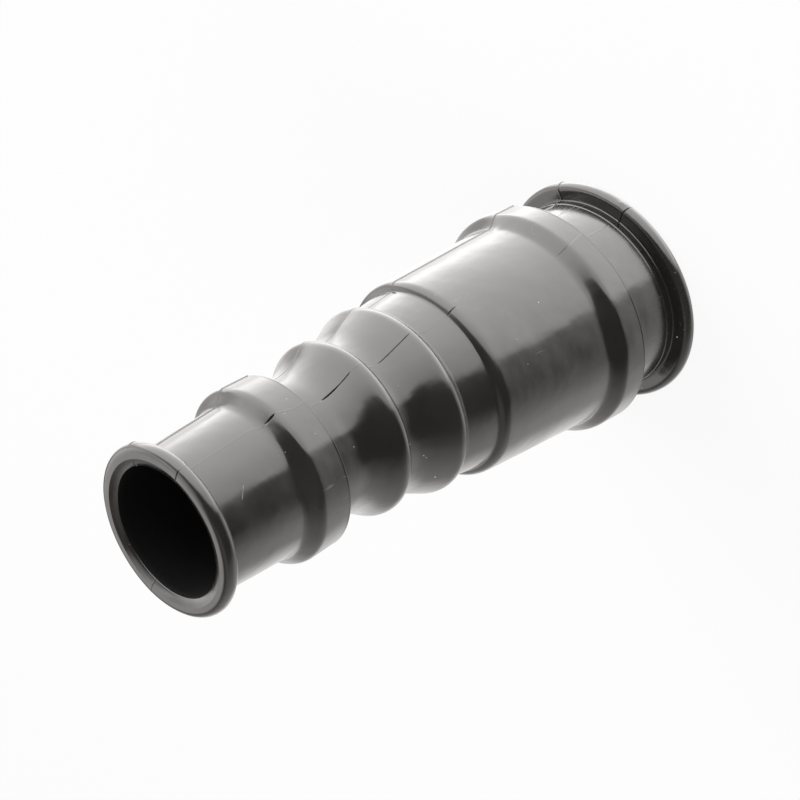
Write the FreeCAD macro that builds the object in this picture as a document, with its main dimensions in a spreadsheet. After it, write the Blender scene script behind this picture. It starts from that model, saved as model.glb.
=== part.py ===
import FreeCAD, Part
import math
import os
import Sketcher

# Rubber bellows boot, one moulded piece, in millimetres.
# It stands on its large end: Z = 0 is the flat of the large lip, +Z runs up the axis to the small end.
# The outside is one turned outline and the inside is another, both drawn in the XZ plane as straight
# runs with an arc over each crest. X of the sketch is the radius, Y of the sketch is the height.

NODE = "bellows_boot"
SHEET = "Sizes"

# Driving sizes: alias, value, meaning
SIZES = (
    ("large_bore_d", 52.0, "bore at the large end"),
    ("large_seat_wall", 1.95, "rubber under the clamp seat at the large end"),
    ("large_seat_length", 17.45, "clamp seat at the large end, along the axis"),
    ("large_lip_height", 5.25, "lip at the large end, above its clamp seat"),
    ("large_lip_thick", 4.1, "lip at the large end, along the axis"),
    ("large_lip_round", 1.7, "rounding of the large lip's rim"),
    ("large_lip_foot", 1.3, "bevel at the foot of the large lip, across and along"),
    ("large_collar_height", 5.4, "collar at the large end, above its clamp seat"),
    ("large_collar_width", 6.85, "land of the large collar"),
    ("body_large_wall", 4.1, "rubber of the body beside the large collar"),
    ("body_small_wall", 2.65, "rubber of the body beside the neck"),
    ("body_length", 37.1, "tapered body, along the axis"),
    ("shoulder_drop", 0.85, "first, soft part of each collar's step, across the axis"),
    ("shoulder_length", 1.9, "first, soft part of each collar's step, along the axis"),
    ("slope_length", 2.8, "rest of each collar's step, along the axis"),
    ("neck_step", 2.05, "height of the body's shoulder above the neck"),
    ("neck_slope", 2.7, "step from the neck to the body, along the axis"),
    ("neck_taper", 1.4, "fall of the neck's radius towards the bellows"),
    ("neck_length", 10.2, "neck, along the axis"),
    ("bellows_wall", 1.8, "rubber in the bellows and the neck"),
    ("crest_round", 3.2, "outside rounding of the bellows' crests"),
    ("large_crest_height", 1.95, "larger crest above the neck's end"),
    ("large_crest_back", 3.4, "larger crest's steep side, along the axis"),
    ("large_crest_turn", 1.3, "how far the larger crest's rounding runs down its steep side"),
    ("large_crest_front", 13.8, "larger crest's long side, along the axis"),
    ("large_valley_depth", 4.65, "valley between the crests, below the larger crest"),
    ("small_crest_height", 2.75, "smaller crest above that valley"),
    ("small_crest_back", 4.5, "smaller crest's steep side, along the axis"),
    ("small_crest_turn", 1.1, "how far the smaller crest's rounding runs down its steep side"),
    ("small_crest_front", 7.65, "smaller crest's long side, along the axis"),
    ("run_out_length", 4.7, "gentler end of that side, along the axis"),
    ("run_out_fall", 1.3, "gentler end of that side, across the axis"),
    ("small_valley_floor", 8.35, "floor of the wide valley below the small collar"),
    ("small_collar_height", 3.8, "collar at the small end, above its clamp seat"),
    ("small_collar_width", 8.75, "land of the small collar"),
    ("small_seat_wall", 2.5, "rubber under the clamp seat at the small end"),
    ("small_seat_length", 24.35, "clamp seat at the small end, along the axis"),
    ("small_lip_height", 3.25, "lip at the small end, above its clamp seat"),
    ("small_lip_thick", 4.4, "lip at the small end, along the axis"),
    ("small_lip_round", 1.9, "rounding of the small lip's rim"),
    ("small_mouth_width", 2.1, "bevel of the small mouth, across the lip's face"),
    ("small_mouth_depth", 1.7, "bevel of the small mouth, along the axis"),
    ("small_bore_d", 37.2, "bore at the small end"),
)


class Length:
    """A length as a number and as the sheet formula that gives the same number."""

    def __init__(self, number, formula):
        self.number = number
        self.formula = formula

    def __add__(self, other):
        return Length(self.number + other.number, "(%s + %s)" % (self.formula, other.formula))

    def __sub__(self, other):
        return Length(self.number - other.number, "(%s - %s)" % (self.formula, other.formula))

    def times(self, factor):
        return Length(self.number * factor, "(%s * %s)" % (self.formula, factor))


ZERO = Length(0.0, "0")
HALF_WAY = round(1 - math.sqrt(0.5), 6)


def make_sheet(doc):
    """Put the driving sizes into the sheet and give them back by name."""
    sheet = doc.addObject("Spreadsheet::Sheet", SHEET)
    for row, (name, value, meaning) in enumerate(SIZES, start=1):
        sheet.set("A%d" % row, name)
        sheet.set("B%d" % row, str(value))
        sheet.set("C%d" % row, meaning)
        sheet.setAlias("B%d" % row, name)
    doc.recompute()
    return {name: Length(float(sheet.get(name)), "%s.%s" % (SHEET, name)) for name, _, _ in SIZES}


class Corner:
    """A corner of an outline at (radius, height)."""

    def __init__(self, radius, height):
        self.radius = radius
        self.height = height

    def begin(self):
        return FreeCAD.Vector(self.radius.number, self.height.number, 0)

    def end(self, after):
        return self.begin()


class Crest:
    """An arc over a crest about the middle (radius, height). It starts on the steep side, at the
    height start, and ends where the straight long side touches it."""

    def __init__(self, radius, height, rounding, start):
        self.radius = radius
        self.height = height
        self.rounding = rounding
        self.start = start

    def begin(self):
        down = self.height.number - self.start.number
        across = math.sqrt(self.rounding.number ** 2 - down ** 2)
        return FreeCAD.Vector(self.radius.number + across, self.start.number, 0)

    def end(self, after):
        """Where the line from the corner after touches the arc: the radius to that point makes
        the angle acos(rounding / distance) with the line from the middle to the corner."""
        dx = after.radius.number - self.radius.number
        dy = after.height.number - self.height.number
        way = math.atan2(dy, dx) - math.acos(self.rounding.number / math.hypot(dx, dy))
        reach = self.rounding.number
        return FreeCAD.Vector(self.radius.number + reach * math.cos(way),
                              self.height.number + reach * math.sin(way), 0)


def draw_outline(sketch, items):
    """Draw a closed outline through items, whose first and last lie on the axis, and bind each
    place and rounding to the sheet."""
    count = len(items)
    runs = []
    for i, item in enumerate(items):
        after = items[(i + 1) % count]
        runs.append(sketch.addGeometry(Part.LineSegment(item.end(after), after.begin()), False))
    for i, item in enumerate(items):
        run_in, run_out = runs[i - 1], runs[i]
        if isinstance(item, Corner):
            sketch.addConstraint(Sketcher.Constraint("Coincident", run_in, 2, run_out, 1))
            put(sketch, (run_out, 1), item.radius, item.height)
            continue
        middle = FreeCAD.Vector(item.radius.number, item.height.number, 0)
        first, last = item.begin() - middle, item.end(items[(i + 1) % count]) - middle
        circle = Part.Circle(middle, FreeCAD.Vector(0, 0, 1), item.rounding.number)
        arc = sketch.addGeometry(
            Part.ArcOfCircle(circle, math.atan2(first.y, first.x), math.atan2(last.y, last.x)), False)
        sketch.addConstraint(Sketcher.Constraint("Coincident", run_in, 2, arc, 1))
        sketch.addConstraint(Sketcher.Constraint("Tangent", arc, 2, run_out, 1))
        bind(sketch, Sketcher.Constraint("Radius", arc, item.rounding.number), item.rounding)
        start = Sketcher.Constraint("DistanceY", -1, 1, arc, 1, item.start.number)
        bind(sketch, start, item.start)
        put(sketch, (arc, 3), item.radius, item.height)


def put(sketch, place, radius, height):
    """Fix a point of the sketch at a radius and a height."""
    if radius.number == 0.0:
        sketch.addConstraint(Sketcher.Constraint("PointOnObject", place[0], place[1], -2))
    else:
        bind(sketch, Sketcher.Constraint("DistanceX", -1, 1, place[0], place[1], radius.number), radius)
    if height.number == 0.0:
        sketch.addConstraint(Sketcher.Constraint("PointOnObject", place[0], place[1], -1))
    else:
        bind(sketch, Sketcher.Constraint("DistanceY", -1, 1, place[0], place[1], height.number), height)


def bind(sketch, constraint, length):
    """Add a constraint and tie its value to the sheet."""
    index = sketch.addConstraint(constraint)
    sketch.setExpression("Constraints[%d]" % index, length.formula)


def radii(size):
    """Radii of the outline's stations, each one built on the bore or on its neighbour."""
    large_bore = size["large_bore_d"].times(0.5)
    small_bore = size["small_bore_d"].times(0.5)
    radius = {"large_bore": large_bore, "small_bore": small_bore}
    radius["large_seat"] = large_bore + size["large_seat_wall"]
    radius["large_lip"] = radius["large_seat"] + size["large_lip_height"]
    radius["large_collar"] = radius["large_seat"] + size["large_collar_height"]
    radius["body_large"] = large_bore + size["body_large_wall"]
    radius["body_small"] = large_bore + size["body_small_wall"]
    radius["neck_large"] = radius["body_small"] - size["neck_step"]
    radius["neck_small"] = radius["neck_large"] - size["neck_taper"]
    radius["large_crest"] = radius["neck_small"] + size["large_crest_height"]
    radius["large_valley"] = radius["large_crest"] - size["large_valley_depth"]
    radius["small_crest"] = radius["large_valley"] + size["small_crest_height"]
    radius["small_valley"] = small_bore + size["bellows_wall"]
    radius["run_out"] = radius["small_valley"] + size["run_out_fall"]
    radius["small_seat"] = small_bore + size["small_seat_wall"]
    radius["small_collar"] = radius["small_seat"] + size["small_collar_height"]
    radius["small_lip"] = radius["small_seat"] + size["small_lip_height"]
    return radius


def heights(size):
    """Heights of the outline's stations, each one its own length above the one below it."""
    order = (
        ("large_lip_top", "large_lip_thick"),
        ("large_seat_top", "large_seat_length"),
        ("large_collar_top", "large_collar_width"),
        ("large_slope_top", "shoulder_length"),
        ("body_bottom", "slope_length"),
        ("body_top", "body_length"),
        ("neck_bottom", "neck_slope"),
        ("neck_top", "neck_length"),
        ("large_crest", "large_crest_back"),
        ("large_valley", "large_crest_front"),
        ("small_crest", "small_crest_back"),
        ("run_out", "small_crest_front"),
        ("small_valley", "run_out_length"),
        ("small_valley_top", "small_valley_floor"),
        ("small_collar_top", "small_collar_width"),
        ("small_slope_bottom", "shoulder_length"),
        ("small_seat_bottom", "slope_length"),
        ("small_lip_bottom", "small_seat_length"),
        ("top", "small_lip_thick"),
    )
    level = {}
    here = ZERO
    for name, step in order:
        here = here + size[step]
        level[name] = here
    return level


def lip_rim(radius, low, high, rounding):
    """The rounded rim of a lip from its low face to its high one. Each quarter of the rounding is
    two straight runs that meet half-way round it."""
    part = rounding.times(HALF_WAY)
    return [
        Corner(radius - rounding, low),
        Corner(radius - part, low + part),
        Corner(radius, low + rounding),
        Corner(radius, high - rounding),
        Corner(radius - part, high - part),
        Corner(radius - rounding, high),
    ]


def outer_outline(size, radius, level):
    """The outside, from the axis at the large end up to the axis at the small end."""
    foot = size["large_lip_foot"]
    drop = size["shoulder_drop"]
    crest_round = size["crest_round"]
    return [
        Corner(ZERO, ZERO),
    ] + lip_rim(radius["large_lip"], ZERO, level["large_lip_top"], size["large_lip_round"]) + [
        Corner(radius["large_seat"] + foot, level["large_lip_top"]),
        Corner(radius["large_seat"], level["large_lip_top"] + foot),
        Corner(radius["large_seat"], level["large_seat_top"]),
        Corner(radius["large_collar"], level["large_seat_top"]),
        Corner(radius["large_collar"], level["large_collar_top"]),
        Corner(radius["large_collar"] - drop, level["large_slope_top"]),
        Corner(radius["body_large"], level["body_bottom"]),
        Corner(radius["body_small"], level["body_top"]),
        Corner(radius["neck_large"], level["neck_bottom"]),
        Corner(radius["neck_small"], level["neck_top"]),
        Crest(radius["large_crest"] - crest_round, level["large_crest"], crest_round,
              level["large_crest"] - size["large_crest_turn"]),
        Corner(radius["large_valley"], level["large_valley"]),
        Crest(radius["small_crest"] - crest_round, level["small_crest"], crest_round,
              level["small_crest"] - size["small_crest_turn"]),
        Corner(radius["run_out"], level["run_out"]),
        Corner(radius["small_valley"], level["small_valley"]),
        Corner(radius["small_valley"], level["small_valley_top"]),
        Corner(radius["small_collar"], level["small_valley_top"]),
        Corner(radius["small_collar"], level["small_collar_top"]),
        Corner(radius["small_collar"] - drop, level["small_slope_bottom"]),
        Corner(radius["small_seat"], level["small_seat_bottom"]),
        Corner(radius["small_seat"], level["small_lip_bottom"]),
    ] + lip_rim(radius["small_lip"], level["small_lip_bottom"], level["top"], size["small_lip_round"]) + [
        Corner(ZERO, level["top"]),
    ]


def inner_outline(size, radius, level):
    """The inside: two straight bores joined by the inner face of the neck and the bellows, which
    keeps one wall inside the outer one."""
    wall = size["bellows_wall"]
    return [
        Corner(ZERO, ZERO),
        Corner(radius["large_bore"], ZERO),
        Corner(radius["large_bore"], level["body_top"]),
        Corner(radius["neck_large"] - wall, level["neck_bottom"]),
        Corner(radius["neck_small"] - wall, level["neck_top"]),
        Corner(radius["large_crest"] - wall, level["large_crest"]),
        Corner(radius["large_valley"] - wall, level["large_valley"]),
        Corner(radius["small_crest"] - wall, level["small_crest"]),
        Corner(radius["run_out"] - wall, level["run_out"]),
        Corner(radius["small_bore"], level["small_valley"]),
        Corner(radius["small_bore"], level["top"] - size["small_mouth_depth"]),
        Corner(radius["small_bore"] + size["small_mouth_width"], level["top"]),
        Corner(ZERO, level["top"]),
    ]


def origin_plane(body, role):
    return [plane for plane in body.Origin.OriginFeatures if plane.Role == role][0]


def turned_feature(body, kind, name, items):
    """A sketch of the outline in the body's XZ plane, turned once round the axis."""
    sketch = body.newObject("Sketcher::SketchObject", name + "_outline")
    sketch.AttachmentSupport = [(origin_plane(body, "XZ_Plane"), "")]
    sketch.MapMode = "FlatFace"
    draw_outline(sketch, items)
    body.Document.recompute()
    feature = body.newObject(kind, name)
    feature.Profile = sketch
    feature.ReferenceAxis = (sketch, ["V_Axis"])
    feature.Angle = 360.0
    sketch.Visibility = False
    body.Document.recompute()
    return feature


def check(doc, parts):
    """Stop where an object failed or a part has no valid solid."""
    for item in doc.Objects:
        if "Invalid" in item.State or "Error" in item.State:
            raise RuntimeError("%s failed: %s" % (item.Name, item.State))
    for item in parts:
        if item.Shape.isNull() or not item.Shape.isValid() or len(item.Shape.Solids) != 1:
            raise RuntimeError("%s has no valid single solid" % item.Label)


def main():
    doc = FreeCAD.newDocument("BellowsBoot")
    size = make_sheet(doc)
    radius = radii(size)
    level = heights(size)

    body = doc.addObject("PartDesign::Body", "BellowsBoot")
    body.Label = NODE
    outside = turned_feature(body, "PartDesign::Revolution", "Outside", outer_outline(size, radius, level))
    whole = outside.Shape.Volume
    turned_feature(body, "PartDesign::Groove", "Inside", inner_outline(size, radius, level))
    body.Placement = FreeCAD.Placement()
    doc.recompute()

    check(doc, [body])
    if body.Shape.Volume >= whole:
        raise RuntimeError("the inside was not cut")
    os.makedirs("parts", exist_ok=True)
    body.Shape.exportStep("parts/%s.step" % NODE)
    width = 2 * max(length.number for length in radius.values())
    print("length %.2f width %.2f volume %.1f" % (level["top"].number, width, body.Shape.Volume))


main()
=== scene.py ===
import math

import bpy
import numpy as np
from bpy.props import FloatProperty, FloatVectorProperty, PointerProperty
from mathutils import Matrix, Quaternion, Vector


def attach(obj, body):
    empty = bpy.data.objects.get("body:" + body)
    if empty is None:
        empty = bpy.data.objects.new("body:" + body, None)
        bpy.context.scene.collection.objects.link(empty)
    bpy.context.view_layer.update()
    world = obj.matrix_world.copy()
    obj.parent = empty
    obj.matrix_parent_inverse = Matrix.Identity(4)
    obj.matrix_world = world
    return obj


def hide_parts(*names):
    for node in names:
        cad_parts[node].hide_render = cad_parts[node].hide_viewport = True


bl_info = {
    "name": "Rubber Bellows Boot",
    "version": (1, 0, 0),
    "blender": (4, 5, 0),
    "location": "3D View > Sidebar > Boot",
    "description": "Dresses a moulded rubber bellows boot and sets its studio",
    "category": "Add Mesh",
}

# Lengths are in metres and angles in radians, as Blender keeps them. Heights run from the flat
# of the large lip, and directions round the axis start at +X and turn towards +Y.

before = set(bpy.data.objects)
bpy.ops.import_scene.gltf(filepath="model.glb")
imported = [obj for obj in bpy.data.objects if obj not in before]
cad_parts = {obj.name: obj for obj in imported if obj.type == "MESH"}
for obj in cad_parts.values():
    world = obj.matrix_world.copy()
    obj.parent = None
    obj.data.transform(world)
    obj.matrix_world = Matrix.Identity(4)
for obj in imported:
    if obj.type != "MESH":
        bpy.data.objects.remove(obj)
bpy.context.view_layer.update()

NODE = "bellows_boot"

# Soft boxes and white cards that the rubber reflects: direction, cosine of the angle from it at
# which each one fades in, cosine at which it is full, and brightness. A box whose second cosine is
# over 1 never gets quite full.
SOFT_BOXES = (
    ((-0.030, 0.985, -0.165), 0.05, 0.95, 2.3),
    ((0.379, 0.891, -0.250), 0.385, 0.485, 3.35),
    ((0.382, -0.030, -0.923), 0.69, 1.10, 3.0),
    ((-0.760, 0.260, 0.595), 0.75, 0.96, 2.1),
    ((-0.385, -0.898, -0.210), 0.41, 1.00, 1.1),
    ((-0.631, 0.339, -0.698), 0.80, 0.99, 1.5),
    ((0.182, -0.705, -0.685), 0.86, 0.99, 0.55),
    ((-0.050, -0.580, 0.813), 0.88, 0.99, 0.4),
    ((-0.250, 0.250, 0.935), 0.92, 0.98, 1.5),
    ((-0.710, -0.470, -0.520), 0.84, 0.98, 0.6),
)
# What the rubber reflects where no soft box is.
DARK_ROOM = 0.17
# Point that the lamps look at.
LAMP_AIM = Vector((0, 0, 0.08))

# Directions of the mould's seams, in degrees.
FRONT_SEAM, SIDE_SEAM, BACK_SEAM = 34.0, 82.5, 214.5
SEAMS = (FRONT_SEAM, SIDE_SEAM, BACK_SEAM)
# How far round, in degrees, the surface goes along with the front seam where it wanders.
SEAM_REACH = 12.0
# The front seam wanders: height in mm, and its turn from its own direction there in degrees.
FRONT_SEAM_WANDER = (
    (0, 1), (4, 2), (6, 4), (17, 4), (23, 1), (30, -2), (52, -1), (71, 1), (80, -1.5), (86, 1),
    (99, -2.5), (103, 0.5), (107, 0.5), (117, -2.5), (130, -3), (134, 0), (137, 0), (141, 4),
    (160, 2.5), (164, 1.5), (167, 0),
)
# Slits along the front seam: from, to, softness, share of the full depth and of the full width.
SLITS = (
    (0.1090, 0.1163, 0.0022, 0.8, 0.75),
    (0.1130, 0.1166, 0.0015, 0.6, 1.4),
    (0.0880, 0.0970, 0.0025, 0.6, 0.8),
    (0.0730, 0.0860, 0.0010, 0.25, 0.7),
    (0.0704, 0.0722, 0.0006, 0.6, 1.1),
    (0.1348, 0.1366, 0.0004, 0.9, 1.5),
    (0.0225, 0.0320, 0.0020, 0.3, 0.9),
    (0.0020, 0.0046, 0.0005, 0.7, 1.3),
    (0.1662, 0.1672, 0.0003, 0.6, 1.0),
)
# Thin rings of flash: radius, height, how far they stand up, half width.
RINGS = (
    (0.0237, 0.1623, 0.00012, 0.00020),
    (0.0330, 0.0220, 0.00008, 0.00025),
    (0.0247, 0.1251, 0.00008, 0.00025),
)
# Crumbs of flash: height, direction in degrees, how far they stand up, half width.
CRUMBS = (
    (0.0026, 38.5, 0.0004, 0.0006),
    (0.1624, 36.5, 0.0003, 0.0005),
    (0.1350, 80.0, 0.0003, 0.0007),
    (0.0330, 76.0, 0.0003, 0.0009),
)
# Specks of dust: height in mm, direction in degrees, radius in mm.
SPECKS = (
    (48.1, 15.0, 0.16), (61.6, 2.4, 0.14), (128.6, 41.2, 0.12), (132.3, 32.2, 0.10),
    (116.7, 351.4, 0.12), (96.5, 319.0, 0.16), (95.7, 316.8, 0.12), (97.6, 11.4, 0.10),
    (61.3, 347.8, 0.10),
)
# Scratches as rows of fine specks: height and direction of both ends, radius in mm, how many.
SCRATCHES = (
    (152.8, 6.0, 154.2, 0.6, 0.10, 12),
    (139.3, 11.0, 137.3, 13.0, 0.08, 9),
)
# Waves of the surface: how many round the boot, how many in a metre of height, start, share of the
# unevenness.
WAVES = (
    (3, 31.0, 0.4, 0.30), (-5, 47.0, 2.1, 0.25), (7, -22.0, 4.0, 0.20),
    (2, 83.0, 1.2, 0.20), (-9, 71.0, 5.3, 0.14), (13, 58.0, 3.3, 0.10), (-19, 105.0, 0.9, 0.05),
)
# Places of the outline that get more steps: radius and height.
FINE = ((0.0280, 0.0066), (0.0237, 0.1623), (0.0215, 0.1664), (0.0331, 0.0220), (0.0247, 0.1251))

# Inside, the small forms of the surface reach down from the mouth to this height only.
MOUTH_RELIEF = 0.16

# Grid of the boot's surface: points of an arc, steps along the outline and columns round the axis.
# The inside gets fewer steps than the outside, by INSIDE_SHARE, and a radian of turning counts as
# much as PER_RADIAN metres of outline.
ARC_POINTS = 17
ROWS = 500
COLUMNS = 196
INSIDE_SHARE = 0.4
PER_RADIAN = 0.003


def length(name, description, default):
    """A size in metres that a user can change."""
    return FloatProperty(name=name, description=description, default=default, min=0.0,
                         unit="LENGTH")


def angle(name, description, degrees):
    """A direction or tilt, given in degrees and kept in radians."""
    return FloatProperty(name=name, description=description, default=math.radians(degrees),
                         unit="ROTATION")


def fraction(name, description, default):
    """A part of a whole, from 0 to 1."""
    return FloatProperty(name=name, description=description, default=default, min=0.0, max=1.0,
                         subtype="FACTOR")


def colour(name, description, default):
    """A colour, or the tint of a light."""
    return FloatVectorProperty(name=name, description=description, default=default, min=0.0,
                               max=1.0, subtype="COLOR")


def place(name, description, default):
    """A point in metres."""
    return FloatVectorProperty(name=name, description=description, default=default,
                               unit="LENGTH")


def power(name, description, default):
    """The power of a lamp in watts."""
    return FloatProperty(name=name, description=description, default=default, min=0.0,
                         unit="POWER")


class BootSizes(bpy.types.PropertyGroup):
    """Sizes of the moulding and of the way it has settled."""

    large_bore: length("Large bore", "Radius of the bore at the large end", 0.026)
    large_lip: length("Large lip", "Radius of the lip at the large end", 0.03306)
    large_lip_top: length("Large lip top", "Height of the lip's back face", 0.0041)
    large_lip_round: length("Large lip rounding", "Rounding of the large lip's rim", 0.00195)
    large_lip_fillet: length("Large lip fillet", "Fillet at the foot of the large lip", 0.0004)
    large_seat: length("Large seat", "Radius of the clamp seat at the large end", 0.02795)
    seat_step: length("Seat step", "Fine step on the large clamp seat beside the lip", 0.00015)
    seat_step_at: length("Seat step height", "Height of that step", 0.0066)
    large_seat_top: length("Large seat top", "Height where the large clamp seat ends", 0.0211)
    large_collar: length("Large collar", "Radius of the collar at the large end", 0.0331)
    large_collar_top: length("Large collar top", "Height of the large collar's soft shoulder", 0.0294)
    collar_round: length("Collar rounding", "Rounding of a collar's soft shoulder", 0.002)
    collar_edge: length("Collar edge", "Rounding of a collar's crisp edge", 0.00045)
    collar_lean: length("Collar lean", "Lean of a collar's crisp side along the axis", 0.0007)
    root_fillet: length("Root fillet", "Fillet at the foot of a collar's crisp side", 0.001)
    slope_fillet: length("Slope fillet", "Fillet at the foot of a collar's soft step", 0.0024)
    body_large: length("Body at the large collar", "Radius of the body beside the large collar", 0.0301)
    body_small: length("Body at the neck", "Radius of the body beside the neck", 0.02865)
    body_bottom: length("Body bottom", "Height where the body starts", 0.0328)
    body_top: length("Body top", "Height of the body's shoulder", 0.0716)
    body_round: length("Body rounding", "Rounding of the body's shoulder", 0.0026)
    neck_large: length("Neck at the body", "Radius of the neck beside the body", 0.0266)
    neck_small: length("Neck at the bellows", "Radius of the neck beside the bellows", 0.0252)
    neck_bottom: length("Neck bottom", "Height where the neck starts", 0.0729)
    neck_fillet: length("Neck fillet", "Fillet between the neck and the body", 0.0005)
    neck_foot: length("Neck top", "Height where the neck ends", 0.08305)
    crest_round: length("Crest rounding", "Rounding of the bellows' crests", 0.003)
    foot_round: length("Foot rounding", "Rounding at the foot of a crest's steep side", 0.0005)
    floor_round: length("Floor rounding", "Rounding from a valley's floor up to a crest", 0.015)
    large_crest: length("Large crest", "Radius of the larger crest", 0.02715)
    large_crest_at: length("Large crest height", "Height of the larger crest", 0.08645)
    large_valley: length("Large valley", "Radius of the valley between the crests", 0.0225)
    large_floor_at: length("Large floor height", "Height where the larger crest's long side starts",
                           0.1005)
    large_foot_at: length("Large foot height", "Height of the foot of the smaller crest", 0.1012)
    small_crest: length("Small crest", "Radius of the smaller crest", 0.02525)
    small_crest_at: length("Small crest height", "Height of the smaller crest", 0.1047)
    small_valley: length("Small valley", "Radius of the wide valley", 0.0204)
    small_floor_at: length("Small floor height",
                           "Height where the smaller crest's long side starts", 0.1174)
    small_valley_top: length("Small valley top", "Height where the wide valley ends", 0.1242)
    small_collar_front: length("Small collar front", "Radius of the small collar's soft side", 0.0251)
    small_collar_back: length("Small collar back", "Radius of the small collar's crisp side", 0.02475)
    small_collar_top: length("Small collar top", "Height of the small collar's soft shoulder", 0.1343)
    small_seat_back: length("Small seat back", "Radius of the small clamp seat at the collar", 0.0216)
    small_seat_front: length("Small seat front", "Radius of the small clamp seat at the lip", 0.0206)
    small_seat_bottom: length("Small seat bottom", "Height where the small clamp seat starts", 0.1379)
    small_lip_bottom: length("Small lip bottom", "Height of the small lip's back face", 0.1623)
    small_lip: length("Small lip", "Radius of the lip at the small end", 0.02433)
    small_lip_round: length("Small lip rounding", "Rounding of the small lip's rim", 0.0021)
    small_lip_fillet: length("Small lip fillet", "Fillet at the foot of the small lip", 0.0008)
    mouth_width: length("Mouth width", "Bevel of the small mouth across the lip's face", 0.0023)
    mouth_depth: length("Mouth depth", "Bevel of the small mouth along the axis", 0.0009)
    mouth_round: length("Mouth rounding", "Rounding between the mouth's bevel and the bore", 0.0003)
    small_bore: length("Small bore", "Radius of the bore at the small end", 0.0186)
    bellows_wall: length("Bellows wall", "Rubber in the bellows and the neck", 0.0018)
    top: length("Height", "Height of the unbent boot", 0.16665)
    sharp: length("Sharp edge", "Rounding left on an edge that has no rounding of its own", 0.00012)
    bend: angle("Bend", "How far the small half leans away from the large half", 2.335)
    bend_towards: angle("Bend direction", "Direction the small half leans towards", -99.3)
    bend_at: length("Bend height", "Height of the middle of the bend", 0.09325)
    bend_reach: length("Bend reach", "Half of the height over which the boot bends", 0.0175)
    large_oval: fraction("Large oval", "Share by which the large half is out of round", 0.0442)
    large_oval_towards: angle("Large oval direction", "Direction of the large oval's long axis", 135.1)
    small_oval: fraction("Small oval", "Share by which the small half is out of round", 0.0133)
    small_oval_towards: angle("Small oval direction", "Direction of the small oval's long axis", 23.3)
    oval_low: length("Oval change bottom", "Height where the large half's oval starts to give way",
                     0.072)
    oval_high: length("Oval change top", "Height where the small half's oval takes over", 0.1145)
    slit_depth: length("Slit depth", "Depth of the slits where the mould's seam has opened", 0.0005)
    slit_width: length("Slit width", "Half width of those slits", 0.00012)
    seam_height: length("Seam height", "Height of the thin flash along the front and back seams",
                        0.00005)
    seam_width: length("Seam width", "Half width of that flash", 0.00014)
    ridge_height: length("Ridge height", "Height of the flash along the side seam", 0.00026)
    ridge_width: length("Ridge width", "Half width of the flash along the side seam", 0.00017)
    unevenness: length("Unevenness", "How far the moulded surface waves", 0.00005)


class RubberLook(bpy.types.PropertyGroup):
    """Colours and sheen of the rubber."""

    clean: colour("Clean rubber", "Rubber where the skin is clean", (0.0105, 0.009, 0.0085))
    filmed: colour("Filmed rubber", "Rubber under a thin grey film", (0.0185, 0.0165, 0.0155))
    # The bore's colour is painted shade: darker, standing in for the shade inside the bore.
    bore: colour("Bore rubber with painted shade", "Rubber of the bore", (0.003, 0.003, 0.003))
    scuff: colour("Scuffs", "Short scuffs on the skin", (0.10, 0.10, 0.10))
    dust: colour("Dust", "Specks of dust", (0.55, 0.54, 0.53))
    sheen_low: fraction("Sheen low", "Roughness where the skin is shiniest", 0.14)
    sheen_high: fraction("Sheen high", "Roughness where the skin is dullest", 0.24)


class StudioSizes(bpy.types.PropertyGroup):
    """Camera, lights and floor."""

    camera_place: place("Camera", "Place of the camera", (0.55782, 0.04949, 0.49186))
    camera_aim: place("Aim", "Point the camera looks at", (0.00007, -0.00111, 0.08304))
    camera_roll: angle("Camera roll", "Turn of the camera about its line of sight", 118.045)
    camera_lens: FloatProperty(name="Lens", description="Focal length on a 36 mm frame",
                               default=116.267, min=1.0)
    floor_size: length("Floor", "Side of the floor", 6.0)
    floor_colour: colour("Floor colour", "Colour of the floor", (0.8, 0.8, 0.8))
    floor_glow: fraction("Floor glow", "How white the floor looks to the camera by itself", 0.9)
    room_light: fraction("Room light", "Strength of the plain white light from all round", 0.5)
    key_power: power("Key power", "Power of the key lamp", 16.0)
    fill_power: power("Fill power", "Power of the fill lamp", 8.0)
    lamp_size: length("Lamp size", "Side of each lamp", 1.0)
    box_tint: colour("Soft box tint", "Tint of what the rubber reflects", (1.0, 0.98, 0.97))


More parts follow.
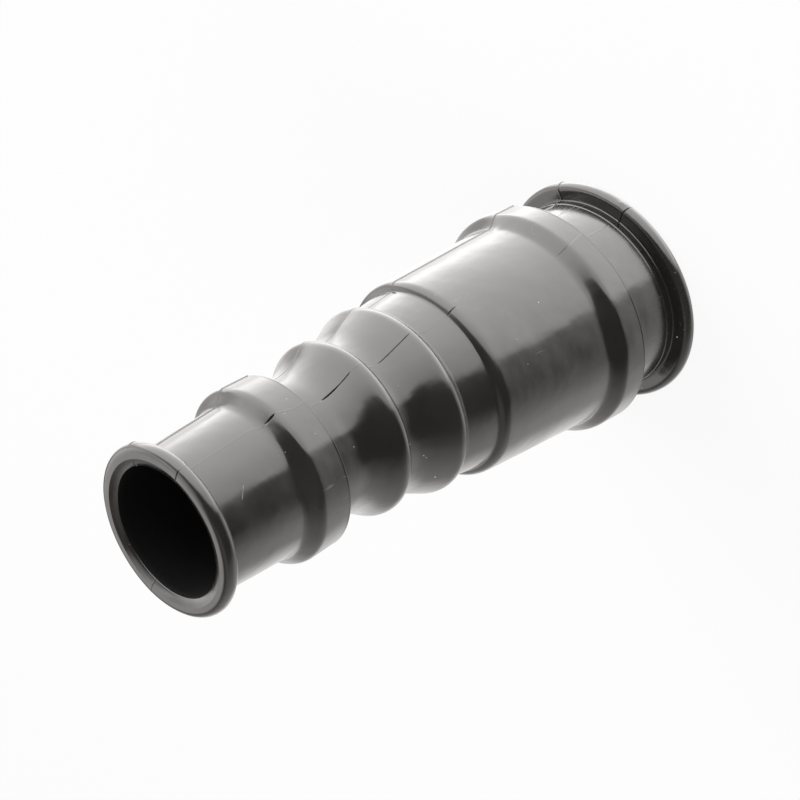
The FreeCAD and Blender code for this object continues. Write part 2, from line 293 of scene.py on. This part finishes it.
def outline_items(size):
    """Corners and arcs of the section as rows of radius, height, rounding and turn. A turn of 0 is a
    corner. A turn of 1 or -1 is an arc about that point, over a crest or through a valley."""
    crest = size.crest_round
    floor = size.floor_round
    foot = size.foot_round
    wall = size.bellows_wall

    def bellows(inwards, way):
        """The bellows' outer face, or with the wall and a way of -1 its inner face."""
        return [
            (size.neck_small + foot, size.neck_foot, foot + inwards, -way),
            (size.large_crest - crest, size.large_crest_at, crest - inwards, way),
            (size.large_valley + floor, size.large_floor_at, floor + inwards, -way),
            (size.large_valley + foot, size.large_foot_at, foot + inwards, -way),
            (size.small_crest - crest, size.small_crest_at, crest - inwards, way),
            (size.small_valley + floor, size.small_floor_at, floor + inwards, -way),
        ]

    outside = [
        (size.large_lip, 0.0, size.large_lip_round, 0),
        (size.large_lip, size.large_lip_top, size.large_lip_round, 0),
        (size.large_seat + size.seat_step, size.large_lip_top, size.large_lip_fillet, 0),
        (size.large_seat + size.seat_step, size.seat_step_at - size.seat_step, size.sharp, 0),
        (size.large_seat, size.seat_step_at + size.seat_step, size.sharp, 0),
        (size.large_seat, size.large_seat_top, size.root_fillet, 0),
        (size.large_collar, size.large_seat_top + size.collar_lean, size.collar_edge, 0),
        (size.large_collar, size.large_collar_top, size.collar_round, 0),
        (size.body_large, size.body_bottom, size.slope_fillet, 0),
        (size.body_small, size.body_top, size.body_round, 0),
        (size.neck_large, size.neck_bottom, size.neck_fillet, 0),
    ] + bellows(0.0, 1) + [
        (size.small_valley, size.small_valley_top, size.root_fillet, 0),
        (size.small_collar_back, size.small_valley_top + size.collar_lean, size.collar_edge, 0),
        (size.small_collar_front, size.small_collar_top, size.collar_round, 0),
        (size.small_seat_back, size.small_seat_bottom, size.slope_fillet, 0),
        (size.small_seat_front, size.small_lip_bottom, size.small_lip_fillet, 0),
        (size.small_lip, size.small_lip_bottom, size.small_lip_round, 0),
        (size.small_lip, size.top, size.small_lip_round, 0),
    ]
    inside = [
        (size.small_bore + size.mouth_width, size.top, size.sharp, 0),
        (size.small_bore, size.top - size.mouth_depth, size.mouth_round, 0),
    ] + bellows(wall, -1)[::-1] + [
        (size.neck_large - wall, size.neck_bottom, size.neck_fillet, 0),
        (size.large_bore, size.body_top, size.body_round, 0),
        (size.large_bore, 0.0, size.sharp, 0),
    ]
    return np.array(outside + inside, float), len(outside)


def rounded_outline(items, steps):
    """Closed outline through items. The run between two items is the common tangent of their
    circles: its angle is atan2(dz, dr) - asin((reach of the first - reach of the next) / distance),
    where the reach is minus turn times rounding, or 0 at a corner. At a corner the arc's middle lies
    rounding * tan(half the turning) back along the run and one rounding to the side."""
    r, z, rounding, turn = items.T
    dr, dz = np.roll(r, -1) - r, np.roll(z, -1) - z
    reach = -turn * rounding
    after = np.arctan2(dz, dr) - np.arcsin((reach - np.roll(reach, -1)) / np.hypot(dr, dz))
    before = np.roll(after, 1)
    turning = (after - before + np.pi) % (2 * np.pi) - np.pi
    side = np.sign(turning)
    back = rounding * np.tan(np.abs(turning) / 2)
    corner = turn == 0
    middle_r = np.where(corner, r - back * np.cos(before) - side * rounding * np.sin(before), r)
    middle_z = np.where(corner, z - back * np.sin(before) + side * rounding * np.cos(before), z)
    t = before[:, None] + turning[:, None] * np.linspace(0.0, 1.0, steps)
    arc_r = middle_r[:, None] + (side * rounding)[:, None] * np.sin(t)
    arc_z = middle_z[:, None] - (side * rounding)[:, None] * np.cos(t)
    return arc_r.ravel(), arc_z.ravel(), t.ravel()


def even_steps(r, z, heading, weight, count):
    """The same outline in count steps. Each step has the same sum of length and PER_RADIAN times
    turning, both times the weight of its stretch; round each of the FINE places the weight rises by
    8 * exp(-(distance / 0.7 mm)^2)."""
    r, z, heading, weight = (np.append(values, values[0]) for values in (r, z, heading, weight))
    turned = np.abs((np.diff(heading) + np.pi) % (2 * np.pi) - np.pi)
    gone = np.append(0.0, np.cumsum(np.hypot(np.diff(r), np.diff(z)) + PER_RADIAN * turned + 1e-9))
    at = np.linspace(0.0, gone[-1], 40 * count)
    r, z, weight = np.interp(at, gone, r), np.interp(at, gone, z), np.interp(at, gone, weight)
    for fine_r, fine_z in FINE:
        weight = weight + 8.0 * np.exp(-((r - fine_r) ** 2 + (z - fine_z) ** 2) / 0.0007 ** 2)
    steps = np.append(0.0, np.cumsum((weight[1:] + weight[:-1]) / 2))
    even = np.linspace(0.0, steps[-1], count, endpoint=False)
    return np.interp(even, steps, r), np.interp(even, steps, z)


def columns_round(count):
    """Directions round the axis, closer together at each seam: their density is
    1 + 14 * exp(-(angle from the seam / 1.4 degrees)^2), summed up in steps of a twentieth of a
    degree."""
    phi = np.linspace(0.0, 2 * np.pi, 20 * 360)
    density = np.ones(len(phi))
    for seam in SEAMS:
        density += 14.0 * np.exp(-(turn_from(phi, seam) / math.radians(1.4)) ** 2)
    steps = np.append(0.0, np.cumsum((density[1:] + density[:-1]) / 2))
    return np.interp(np.linspace(0.0, steps[-1], count, endpoint=False), steps, phi)


def turn_from(phi, degrees):
    """Turn from a direction, between minus and plus half a turn."""
    return (phi - math.radians(degrees) + np.pi) % (2 * np.pi) - np.pi


def window(z, low, high, soft):
    """1 between low and high, falling to 0 over soft outside them."""
    return smooth_step(z, low - soft, low) * (1.0 - smooth_step(z, high, high + soft))


def smooth_step(x, low, high):
    """0 below low, 1 above high and 3t^2 - 2t^3 between."""
    t = np.clip((x - low) / (high - low), 0.0, 1.0)
    return t * t * (3.0 - 2.0 * t)


def seam_shift(z):
    """How far the front seam lies from its own direction at each height, as straight runs."""
    heights, turns = np.array(FRONT_SEAM_WANDER).T
    return np.radians(np.interp(z * 1000, heights, turns))


def relief(r, z, phi, size):
    """Height of the small forms above the smooth outline. A seam is height * exp(-(distance /
    width)^2), with the distance measured round the surface. A slit is the same with its depth, times
    the window of its stretch. Rings and crumbs of flash are the same about a circle and about a
    point. The unevenness is a sum of sines, and fades out at the large end's flat face."""
    bump = np.zeros(phi.shape)
    # The front and back seams are trimmed down over the body, and the side seam over the bellows.
    plain = window(z, 0.001, size.top, 0.001) * (1.0 - 0.75 * window(z, 0.036, 0.068, 0.003))
    for seam in (FRONT_SEAM, BACK_SEAM):
        away = r * turn_from(phi, seam)
        bump += plain * size.seam_height * np.exp(-(away / size.seam_width) ** 2)
    front = r * turn_from(phi, FRONT_SEAM)
    for low, high, soft, depth, width in SLITS:
        bump -= (depth * size.slit_depth * window(z, low, high, soft)
                 * np.exp(-(front / (width * size.slit_width)) ** 2))
    side = r * turn_from(phi, SIDE_SEAM)
    stand = window(z, 0.001, 0.1655, 0.0006) * (1.0 - 0.5 * window(z, 0.076, 0.122, 0.003))
    bump += stand * size.ridge_height * np.exp(-(side / size.ridge_width) ** 2)
    for ring_r, ring_z, height, width in RINGS:
        bump += height * np.exp(-((r - ring_r) ** 2 + (z - ring_z) ** 2) / width ** 2)
    for crumb_z, crumb_turn, height, width in CRUMBS:
        across = r * turn_from(phi, crumb_turn)
        bump += height * np.exp(-(across ** 2 + (z - crumb_z) ** 2) / width ** 2)
    flat = size.unevenness * smooth_step(z, 0.0, 0.003)
    for round_waves, up_waves, start, part in WAVES:
        bump += flat * part * np.sin(round_waves * phi + 2 * np.pi * up_waves * z + start)
    return bump


def settle(r, z, phi, size):
    """Places points of the round, straight boot on the one that has settled. Each half is an oval:
    r * (1 + share * cos 2(phi - long axis)). Above the bend the centreline leans by the bend, and
    through it it follows a parabola; each ring stays square to the centreline."""
    upper = smooth_step(z, size.oval_low, size.oval_high)
    oval = (1 - upper) * size.large_oval * np.cos(2 * (phi - size.large_oval_towards))
    oval += upper * size.small_oval * np.cos(2 * (phi - size.small_oval_towards))
    x, y = r * (1 + oval) * np.cos(phi), r * (1 + oval) * np.sin(phi)
    lean = math.tan(size.bend)
    past = z - size.bend_at
    inside = np.abs(past) < size.bend_reach
    reached = past + size.bend_reach
    slope = np.where(inside, lean * reached / (2 * size.bend_reach), np.where(past > 0, lean, 0.0))
    shift = np.where(inside, lean * reached ** 2 / (4 * size.bend_reach),
                     np.where(past > 0, lean * past, 0.0))
    cos_to, sin_to = math.cos(size.bend_towards), math.sin(size.bend_towards)
    along = x * cos_to + y * sin_to
    return x + shift * cos_to, y + shift * sin_to, z - along * slope


def surface_mesh(name, x, y, z):
    """A closed surface from a grid of points that wraps both ways: each point is joined to the next
    one in its row and in its column."""
    rows, columns = x.shape
    points = np.stack([x, y, z], -1).reshape(-1, 3).astype(np.float32)
    i, j = np.meshgrid(np.arange(rows), np.arange(columns), indexing="ij")
    up, on = (i + 1) % rows, (j + 1) % columns
    quads = np.stack([i * columns + j, i * columns + on, up * columns + on, up * columns + j], -1)
    quads = quads.reshape(-1, 4)
    mesh = bpy.data.meshes.new(name)
    mesh.vertices.add(len(points))
    mesh.vertices.foreach_set("co", points.ravel())
    mesh.loops.add(quads.size)
    mesh.loops.foreach_set("vertex_index", quads.ravel().astype(np.int32))
    mesh.polygons.add(len(quads))
    mesh.polygons.foreach_set("loop_start", np.arange(0, quads.size, 4, dtype=np.int32))
    mesh.polygons.foreach_set("use_smooth", np.ones(len(quads), bool))
    mesh.update(calc_edges=True)
    if mesh.validate():
        raise RuntimeError("%s has a broken surface" % name)
    obj = bpy.data.objects.new(name, mesh)
    bpy.context.collection.objects.link(obj)
    return obj


def painted_shade_bore_material(look):
    """The bore came off a core. Its colour is darker as painted shade, standing in for the shade inside
    the bore, and it is matt in soft patches.
    """
    material = bpy.data.materials.new("Bore rubber with painted shade")
    material.use_nodes = True
    nodes, links = material.node_tree.nodes, material.node_tree.links
    shader = nodes["Principled BSDF"]
    # Painted shade: the bore's colour is made darker for the shade inside it.
    shader.inputs["Base Color"].default_value = (*look.bore, 1.0)
    shader.inputs["Specular IOR Level"].default_value = 0.12
    patches = nodes.new("ShaderNodeTexNoise")
    patches.inputs["Scale"].default_value = 90.0
    patches.inputs["Detail"].default_value = 3.0
    links.new(nodes.new("ShaderNodeTexCoord").outputs["Object"], patches.inputs["Vector"])
    matt = nodes.new("ShaderNodeMapRange")
    matt.inputs["To Min"].default_value = 0.55
    matt.inputs["To Max"].default_value = 0.8
    links.new(patches.outputs["Fac"], matt.inputs["Value"])
    links.new(matt.outputs["Result"], shader.inputs["Roughness"])
    return material


def dust_places(points, height, turn):
    """Points of the surface under each speck, and evenly along each scratch from the point under its
    one end to the point under its other end, with the radius of each one."""
    def under(z, degrees):
        """The point of the surface nearest to a height in mm and a direction in degrees."""
        row = np.argmin(np.abs(height - z / 1000))
        return points[row, np.argmin(np.abs(turn_from(turn, degrees)))]

    places = [(Vector(under(z, degrees)), radius / 1000) for z, degrees, radius in SPECKS]
    for z_from, degrees_from, z_to, degrees_to, radius, count in SCRATCHES:
        row = np.linspace(under(z_from, degrees_from), under(z_to, degrees_to), count)
        places += [(Vector(point), radius / 1000) for point in row]
    return places


def rubber_material(look, dust):
    """Black rubber with a satin skin: the sheen and the tone drift from place to place, and specks
    of dust and short scuffs lie on it."""
    material = bpy.data.materials.new("Black rubber")
    material.use_nodes = True
    nodes, links = material.node_tree.nodes, material.node_tree.links
    shader = nodes["Principled BSDF"]
    shader.inputs["Specular IOR Level"].default_value = 0.6
    at = nodes.new("ShaderNodeTexCoord").outputs["Object"]
    placed = []

    def node(kind, **values):
        """A new node, set down after the ones before it in columns of six."""
        item = nodes.new("ShaderNode" + kind)
        for name, value in values.items():
            setattr(item, name, value)
        placed.append(item)
        item.location = (-300 - 190 * (len(placed) // 6), 300 - 190 * (len(placed) % 6))
        return item

    def put(item, socket, value):
        """Links a socket to what feeds it, or writes a value into it."""
        if isinstance(value, bpy.types.NodeSocket):
            links.new(value, item.inputs[socket])
        else:
            item.inputs[socket].default_value = value

    def noise(where, scale, detail):
        """Noise from 0 to 1."""
        item = node("TexNoise")
        put(item, "Vector", where)
        put(item, "Scale", scale)
        put(item, "Detail", detail)
        return item.outputs["Fac"]

    def spread(value, low, high, to_low, to_high):
        """A smooth step from one value to the other while the first goes from low to high."""
        item = node("MapRange", interpolation_type="SMOOTHSTEP")
        for socket, number in (("Value", value), ("From Min", low), ("From Max", high),
                               ("To Min", to_low), ("To Max", to_high)):
            put(item, socket, number)
        return item.outputs["Result"]

    def combine(operation, first, second):
        """Two values made one."""
        item = node("Math", operation=operation)
        put(item, 0, first)
        put(item, 1, second)
        return item.outputs[0]

    def blend(amount, first, second):
        """One colour going over into another; 6, 7 and 2 are the node's colour sockets."""
        item = node("Mix", data_type="RGBA")
        put(item, "Factor", amount)
        put(item, 6, first)
        put(item, 7, second)
        return item.outputs[2]

    # Fine specks lie in the middle of small cells, in some patches only.
    cells = node("TexVoronoi")
    put(cells, "Vector", at)
    put(cells, "Scale", 170.0)
    speck = combine("MULTIPLY", spread(cells.outputs["Distance"], 0.03, 0.055, 1.0, 0.0),
                    spread(noise(at, 60.0, 2.0), 0.56, 0.60, 0.0, 1.0))
    # Scuffs are noise drawn out into short strokes, also in patches.
    stretch = node("Mapping")
    put(stretch, "Vector", at)
    stretch.inputs["Rotation"].default_value = (0.5, 0.2, 0.3)
    stretch.inputs["Scale"].default_value = (1.0, 1.0, 0.12)
    scuff = combine("MULTIPLY", spread(noise(stretch.outputs[0], 900.0, 2.0), 0.66, 0.74, 0.0, 1.0),
                    spread(noise(at, 45.0, 2.0), 0.58, 0.66, 0.0, 0.6))
    # A thin grey film lies over broad patches of the rubber.
    film = spread(noise(at, 40.0, 5.0), 0.3, 0.7, 0.0, 1.0)
    tone = blend(film, (*look.clean, 1.0), (*look.filmed, 1.0))
    # The specks that have a place of their own are added to the rest.
    for point, radius in dust:
        away = node("VectorMath", operation="DISTANCE")
        put(away, 0, at)
        put(away, 1, point)
        speck = combine("MAXIMUM", speck,
                        spread(away.outputs["Value"], 0.6 * radius, 1.2 * radius, 1.0, 0.0))
    tone = blend(scuff, tone, (*look.scuff, 1.0))
    tone = blend(speck, tone, (*look.dust, 1.0))
    links.new(tone, shader.inputs["Base Color"])
    # The sheen drifts too, and dust and scuffs are dull.
    sheen = spread(noise(at, 75.0, 4.0), 0.3, 0.7, look.sheen_low, look.sheen_high)
    dull = combine("MULTIPLY", combine("MAXIMUM", speck, scuff), 0.3)
    links.new(combine("ADD", sheen, dull), shader.inputs["Roughness"])
    # The skin is a little uneven, as moulded rubber is.
    skin = node("Bump")
    put(skin, "Strength", 0.3)
    put(skin, "Distance", 0.0004)
    put(skin, "Height", combine("ADD", noise(at, 170.0, 1.6), combine("MULTIPLY", speck, 0.4)))
    links.new(skin.outputs[0], shader.inputs["Normal"])
    return material


class BootOperator(bpy.types.Operator):
    """Make the rubber boot in place of its CAD node"""

    bl_idname = "bellows_boot.make_boot"
    bl_label = "Make boot"

    def execute(self, context):
        """The outline is turned round the axis, each point is moved along the outline's normal by
        the relief there, and the whole is settled."""
        size = context.scene.boot_sizes
        look = context.scene.rubber_look
        items, outside = outline_items(size)
        r, z, heading = rounded_outline(items, ARC_POINTS)
        weight = np.where(np.arange(len(r)) < outside * ARC_POINTS, 1.0, INSIDE_SHARE)
        r, z = even_steps(r, z, heading, weight, ROWS)
        top = np.argmax(z)
        inner = np.arange(ROWS) > top
        along_r, along_z = np.roll(r, -1) - np.roll(r, 1), np.roll(z, -1) - np.roll(z, 1)
        step = np.hypot(along_r, along_z)
        phi, height = np.meshgrid(columns_round(COLUMNS), z)
        radius = np.broadcast_to(r[:, None], phi.shape)
        bump = relief(radius, height, phi, size)
        bump[inner & (z < MOUTH_RELIEF)] = 0.0
        radius = radius + bump * (along_z / step)[:, None]
        height = height - bump * (along_r / step)[:, None]
        near = np.exp(-(turn_from(phi, FRONT_SEAM) / math.radians(SEAM_REACH)) ** 2)
        x, y, settled = settle(radius, height, phi + near * seam_shift(height), size)
        boot = surface_mesh("rubber_boot", x, y, settled)
        points = np.stack([x, y, settled], -1)[:top]
        dust = dust_places(points, height[:top, 0], phi[0])
        boot.data.materials.append(rubber_material(look, dust))
        boot.data.materials.append(painted_shade_bore_material(look))
        # The bore's faces get the rubber with painted shade.
        bore = inner & (height[:, 0] < size.top - size.mouth_depth)
        boot.data.polygons.foreach_set("material_index", np.repeat(bore.astype(np.int32), COLUMNS))
        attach(boot, "root")
        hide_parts(NODE)
        return {"FINISHED"}


class StudioOperator(bpy.types.Operator):
    """Set the floor, the lights and the camera"""

    bl_idname = "bellows_boot.make_studio"
    bl_label = "Make studio"

    def execute(self, context):
        studio = context.scene.studio_sizes
        make_floor(studio)
        make_world(context.scene, studio)
        make_lights(studio)
        make_camera(context.scene, studio)
        return {"FINISHED"}


def make_floor(studio):
    """A pale flat floor. It glows by itself to the camera, so that it looks white and keeps a faint
    shadow, and isn't seen in reflections."""
    side = studio.floor_size / 2
    corners = [(-side, -side, 0.0), (side, -side, 0.0), (side, side, 0.0), (-side, side, 0.0)]
    mesh = bpy.data.meshes.new("Floor")
    mesh.from_pydata(corners, [], [(0, 1, 2, 3)])
    floor = bpy.data.objects.new("Floor", mesh)
    bpy.context.collection.objects.link(floor)
    material = bpy.data.materials.new("White table")
    material.use_nodes = True
    nodes, links = material.node_tree.nodes, material.node_tree.links
    shader = nodes["Principled BSDF"]
    shader.inputs["Base Color"].default_value = (*studio.floor_colour, 1.0)
    shader.inputs["Roughness"].default_value = 0.9
    rays = nodes.new("ShaderNodeLightPath")
    glow = nodes.new("ShaderNodeEmission")
    mix = nodes.new("ShaderNodeMixShader")
    amount = nodes.new("ShaderNodeMath")
    amount.operation = "MULTIPLY"
    amount.inputs[1].default_value = studio.floor_glow
    links.new(rays.outputs["Is Camera Ray"], amount.inputs[0])
    links.new(amount.outputs[0], mix.inputs["Fac"])
    links.new(shader.outputs[0], mix.inputs[1])
    links.new(glow.outputs[0], mix.inputs[2])
    links.new(mix.outputs[0], nodes["Material Output"].inputs["Surface"])
    mesh.materials.append(material)
    floor.visible_glossy = False
    return floor


def make_world(scene, studio):
    """Plain white light for everything, and the soft boxes for what the rubber reflects. Each box
    fades in as brightness * smoothstep(cosine of the angle between the ray and its direction)."""
    world = bpy.data.worlds.new("Studio")
    world.use_nodes = True
    nodes, links = world.node_tree.nodes, world.node_tree.links
    way = nodes.new("ShaderNodeTexCoord").outputs["Generated"]
    total = None
    for number, (direction, fade, full, brightness) in enumerate(SOFT_BOXES):
        cosine = nodes.new("ShaderNodeVectorMath")
        cosine.operation = "DOT_PRODUCT"
        cosine.inputs[1].default_value = Vector(direction).normalized()
        links.new(way, cosine.inputs[0])
        box = nodes.new("ShaderNodeMapRange")
        box.interpolation_type = "SMOOTHSTEP"
        box.inputs["From Min"].default_value = fade
        box.inputs["From Max"].default_value = full
        box.inputs["To Max"].default_value = brightness
        links.new(cosine.outputs["Value"], box.inputs["Value"])
        add = nodes.new("ShaderNodeMath")
        links.new(box.outputs["Result"], add.inputs[0])
        if total is None:
            add.inputs[1].default_value = DARK_ROOM
        else:
            links.new(total, add.inputs[1])
        total = add.outputs[0]
        for row, node in enumerate((cosine, box, add)):
            node.location = (200 * row - 800, -200 * number)
    boxes = nodes.new("ShaderNodeBackground")
    boxes.inputs["Color"].default_value = (*studio.box_tint, 1.0)
    links.new(total, boxes.inputs["Strength"])
    plain = nodes["Background"]
    plain.inputs["Color"].default_value = (1.0, 1.0, 1.0, 1.0)
    plain.inputs["Strength"].default_value = studio.room_light
    white = nodes.new("ShaderNodeBackground")
    rays = nodes.new("ShaderNodeLightPath")
    seen = nodes.new("ShaderNodeMixShader")
    shown = nodes.new("ShaderNodeMixShader")
    links.new(rays.outputs["Is Glossy Ray"], seen.inputs["Fac"])
    links.new(plain.outputs[0], seen.inputs[1])
    links.new(boxes.outputs[0], seen.inputs[2])
    links.new(rays.outputs["Is Camera Ray"], shown.inputs["Fac"])
    links.new(seen.outputs[0], shown.inputs[1])
    links.new(white.outputs[0], shown.inputs[2])
    links.new(shown.outputs[0], nodes["World Output"].inputs["Surface"])
    world.cycles.sampling_method = "NONE"
    scene.world = world


def make_lights(studio):
    """Two wide lamps for the form and the shadow. Their highlights on the rubber are drawn by the
    world's soft boxes, so no ray off a glossy surface sees them."""
    for name, stand, watts in (("Key", (-0.4, 1.1, 1.2), studio.key_power),
                               ("Fill", (0.9, -0.7, 0.9), studio.fill_power)):
        data = bpy.data.lights.new(name, "AREA")
        data.shape = "SQUARE"
        data.size = studio.lamp_size
        data.energy = watts
        light = bpy.data.objects.new(name, data)
        light.location = stand
        light.rotation_mode = "QUATERNION"
        light.rotation_quaternion = (LAMP_AIM - Vector(stand)).to_track_quat("-Z", "Y")
        light.visible_glossy = False
        bpy.context.collection.objects.link(light)


def make_camera(scene, studio):
    """The camera of the photo, rolled so that the standing boot lies across the picture."""
    data = bpy.data.cameras.new("Camera")
    data.lens = studio.camera_lens
    camera = bpy.data.objects.new("Camera", data)
    camera.location = studio.camera_place
    camera.rotation_mode = "QUATERNION"
    sight = Vector(studio.camera_aim) - Vector(studio.camera_place)
    roll = Quaternion((0, 0, 1), -studio.camera_roll)
    camera.rotation_quaternion = sight.to_track_quat("-Z", "Y") @ roll
    bpy.context.collection.objects.link(camera)
    scene.camera = camera


class BootPanel(bpy.types.Panel):
    """The boot's operators, and the sizes and colours that they use"""

    bl_idname = "VIEW3D_PT_bellows_boot"
    bl_label = "Bellows boot"
    bl_space_type = "VIEW_3D"
    bl_region_type = "UI"
    bl_category = "Boot"

    def draw(self, context):
        scene = context.scene
        for operator in (BootOperator, StudioOperator):
            self.layout.operator(operator.bl_idname)
        for group in (scene.boot_sizes, scene.rubber_look, scene.studio_sizes):
            box = self.layout.box()
            for name in group.__annotations__:
                box.prop(group, name)


CLASSES = (BootSizes, RubberLook, StudioSizes, BootOperator, StudioOperator, BootPanel)


def register():
    for item in CLASSES:
        bpy.utils.register_class(item)
    bpy.types.Scene.boot_sizes = PointerProperty(type=BootSizes)
    bpy.types.Scene.rubber_look = PointerProperty(type=RubberLook)
    bpy.types.Scene.studio_sizes = PointerProperty(type=StudioSizes)


def unregister():
    del bpy.types.Scene.studio_sizes
    del bpy.types.Scene.rubber_look
    del bpy.types.Scene.boot_sizes
    for item in reversed(CLASSES):
        bpy.utils.unregister_class(item)


def main():
    """Makes the boot and its studio."""
    register()
    bpy.ops.bellows_boot.make_boot()
    bpy.ops.bellows_boot.make_studio()
    bpy.context.scene.view_settings.view_transform = "Standard"
    bpy.context.view_layer.update()


if __name__ == "__main__":
    main()
